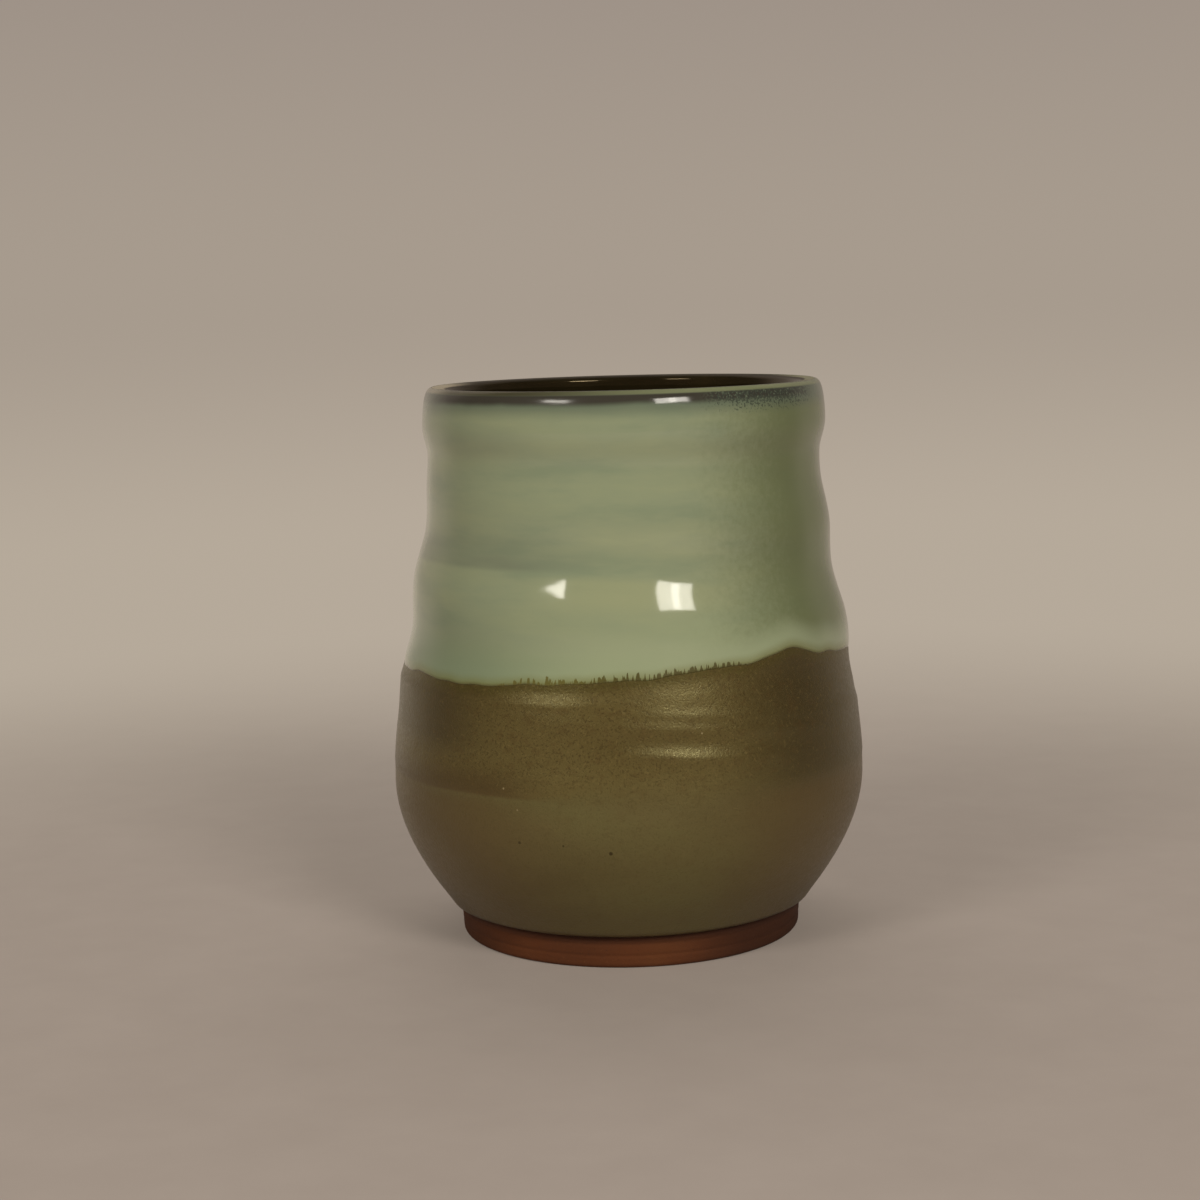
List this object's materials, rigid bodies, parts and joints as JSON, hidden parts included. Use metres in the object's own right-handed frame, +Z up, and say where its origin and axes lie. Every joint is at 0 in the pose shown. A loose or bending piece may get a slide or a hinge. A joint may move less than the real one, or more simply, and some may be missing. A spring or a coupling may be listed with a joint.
{
  "type": "stoneware cup",
  "caption": "Handle-less wheel-thrown stoneware cup with a round belly, flared lip and bare clay foot, green glaze above and olive glaze below.",
  "frame": {"origin": "centre of the foot on the table", "axes": "+Z up along the wheel's axis, towards the mouth; -Y is the side that the picture shows, +X its right"},
  "size_m": [0.0858, 0.0858, 0.1],
  "materials": {
    "bare_clay": "matt, unglazed red-brown stoneware",
    "olive_glaze": "satin, speckled olive-brown",
    "green_glaze": "glossy grey-green with level streaks",
    "liner_glaze": "glossy dark brown"
  },
  "bodies": {
    "root": {"clay_body": "bare_clay", "foot_ring": "bare_clay", "olive_glaze": "olive_glaze", "green_glaze": "green_glaze", "liner_glaze": "liner_glaze"}
  },
  "joints": []
}
